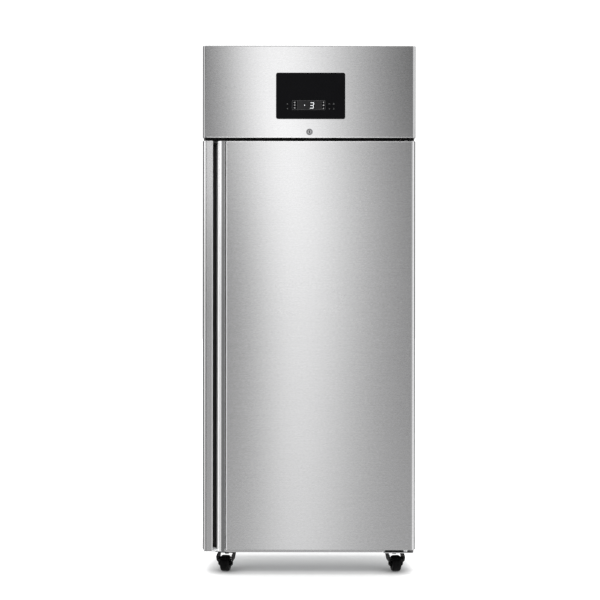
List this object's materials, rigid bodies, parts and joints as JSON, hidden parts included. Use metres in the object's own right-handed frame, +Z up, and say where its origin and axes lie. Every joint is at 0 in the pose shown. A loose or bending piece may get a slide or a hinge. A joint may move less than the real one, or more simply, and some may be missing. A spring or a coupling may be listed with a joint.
{
  "type": "commercial upright refrigerator",
  "caption": "Upright stainless refrigerator with a hinged door, edge handle, lift-up control panel, shelves, top-mounted cooling unit and swivel casters.",
  "frame": {"origin": "centre of the footprint at floor level, under the wheels", "axes": "+Z up, -Y towards the door and the user, +X to the right seen from the front (hinge side)"},
  "size_m": [0.808, 0.833, 2.01],
  "materials": {
    "outer_stainless": "satin",
    "handle_steel": "satin",
    "inner_stainless": "satin",
    "galvanised": "satin",
    "foam": "matte",
    "black_glass": "gloss",
    "black_plastic": "satin",
    "grey_plastic": "satin",
    "lamp_plastic": "satin",
    "gasket_rubber": "matte",
    "black_rubber": "matte",
    "black_metal": "satin",
    "bracket_steel": "satin",
    "zinc": "satin",
    "chrome": "gloss",
    "copper": "satin",
    "coil_aluminium": "satin",
    "caster_tyre": "matte"
  },
  "bodies": {
    "cabinet": {"side_panel_left": "outer_stainless", "side_panel_right": "outer_stainless", "front_frame": "outer_stainless", "roof_cover": "outer_stainless", "inner_liner": "inner_stainless", "evaporator_cover": "inner_stainless", "shelf_pilasters": "inner_stainless", "shelf_slides": "inner_stainless", "rear_panel": "galvanised", "base_pan": "galvanised", "machine_deck": "galvanised", "rear_grille": "galvanised", "fan_shroud": "galvanised", "panel_pivots": "galvanised", "cabinet_foam": "foam", "cable_gland": "black_plastic", "door_switch": "black_plastic", "evaporator_fan_motor": "black_plastic", "condenser_fan_motor": "black_plastic", "electrical_box": "grey_plastic", "evaporating_tray": "grey_plastic", "interior_lamp": "lamp_plastic", "compressor_mounts": "black_rubber", "compressor": "black_metal", "hinge_bracket_top": "bracket_steel", "hinge_bracket_bottom": "bracket_steel", "caster_plates": "zinc", "cabinet_screws": "zinc", "wire_shelf_lower": "chrome", "wire_shelf_middle": "chrome", "wire_shelf_upper": "chrome", "temperature_probe": "chrome", "pipework": "copper", "filter_drier": "copper", "condenser_coil": "coil_aluminium", "evaporator_coil": "coil_aluminium"},
    "control_panel": {"control_panel": "outer_stainless", "display_glass": "black_glass", "controller_module": "black_plastic", "lock_barrel": "chrome"},
    "lock": {"lock_plug": "chrome"},
    "door": {"door_skin": "outer_stainless", "door_liner": "inner_stainless", "door_foam": "foam", "door_gasket": "gasket_rubber", "handle_profile": "handle_steel", "handle_end_caps": "grey_plastic", "hinge_bushes": "grey_plastic"},
    "condenser_fan": {"condenser_fan_blade": "black_plastic"},
    "evaporator_fan": {"evaporator_fan_blade": "black_plastic"},
    "caster_front_left": {"caster_fork_front_left": "black_metal"},
    "wheel_front_left": {"caster_wheel_front_left": "caster_tyre"},
    "brake_front_left": {"brake_pedal_front_left": "black_metal"},
    "caster_front_right": {"caster_fork_front_right": "black_metal"},
    "wheel_front_right": {"caster_wheel_front_right": "caster_tyre"},
    "brake_front_right": {"brake_pedal_front_right": "black_metal"},
    "caster_rear_left": {"caster_fork_rear_left": "black_metal"},
    "wheel_rear_left": {"caster_wheel_rear_left": "caster_tyre"},
    "caster_rear_right": {"caster_fork_rear_right": "black_metal"},
    "wheel_rear_right": {"caster_wheel_rear_right": "caster_tyre"}
  },
  "joints": [
    {"name": "door_swing", "type": "hinge", "parent": "cabinet", "child": "door", "pos_m": [0.368, -0.397, 0.873], "axis": [0, 0, 1], "range_deg": [0, 110], "stiffness_Nm_per_rad": 1.5, "springref_deg": -22.92},
    {"name": "panel_lift", "type": "hinge", "parent": "cabinet", "child": "control_panel", "pos_m": [0, -0.351, 2.004], "axis": [-1, 0, 0], "range_deg": [0, 75]},
    {"name": "lock_turn", "type": "hinge", "parent": "control_panel", "child": "lock", "pos_m": [0.0013, -0.403, 1.6836], "axis": [0, 1, 0], "range_deg": [0, 90]},
    {"name": "condenser_fan_spin", "type": "hinge", "parent": "cabinet", "child": "condenser_fan", "pos_m": [-0.19, -0.132, 1.8], "axis": [0, 1, 0], "continuous": true},
    {"name": "evaporator_fan_spin", "type": "hinge", "parent": "cabinet", "child": "evaporator_fan", "pos_m": [0, 0.057, 1.51], "axis": [0, 1, 0], "continuous": true},
    {"name": "swivel_front_left", "type": "hinge", "parent": "cabinet", "child": "caster_front_left", "pos_m": [-0.316, -0.301, 0.072], "axis": [0, 0, 1], "continuous": true},
    {"name": "roll_front_left", "type": "hinge", "parent": "caster_front_left", "child": "wheel_front_left", "pos_m": [-0.31991, -0.32569, 0.031], "axis": [0.9877, -0.1564, 0], "continuous": true},
    {"name": "brake_tip_front_left", "type": "hinge", "parent": "caster_front_left", "child": "brake_front_left", "pos_m": [-0.32335, -0.34742, 0.058], "axis": [0.9877, -0.1564, 0], "range_deg": [0, 8]},
    {"name": "swivel_front_right", "type": "hinge", "parent": "cabinet", "child": "caster_front_right", "pos_m": [0.332, -0.301, 0.072], "axis": [0, 0, 1], "continuous": true},
    {"name": "roll_front_right", "type": "hinge", "parent": "caster_front_right", "child": "wheel_front_right", "pos_m": [0.33591, -0.32569, 0.031], "axis": [0.9877, 0.1564, 0], "continuous": true},
    {"name": "brake_tip_front_right", "type": "hinge", "parent": "caster_front_right", "child": "brake_front_right", "pos_m": [0.33935, -0.34742, 0.058], "axis": [0.9877, 0.1564, 0], "range_deg": [0, 8]},
    {"name": "swivel_rear_left", "type": "hinge", "parent": "cabinet", "child": "caster_rear_left", "pos_m": [-0.322, 0.325, 0.072], "axis": [0, 0, 1], "continuous": true},
    {"name": "roll_rear_left", "type": "hinge", "parent": "caster_rear_left", "child": "wheel_rear_left", "pos_m": [-0.31595, 0.30074, 0.031], "axis": [0.9703, 0.2419, 0], "continuous": true},
    {"name": "swivel_rear_right", "type": "hinge", "parent": "cabinet", "child": "caster_rear_right", "pos_m": [0.322, 0.325, 0.072], "axis": [0, 0, 1], "continuous": true},
    {"name": "roll_rear_right", "type": "hinge", "parent": "caster_rear_right", "child": "wheel_rear_right", "pos_m": [0.31723, 0.30046, 0.031], "axis": [0.9816, -0.1908, 0], "continuous": true}
  ]
}
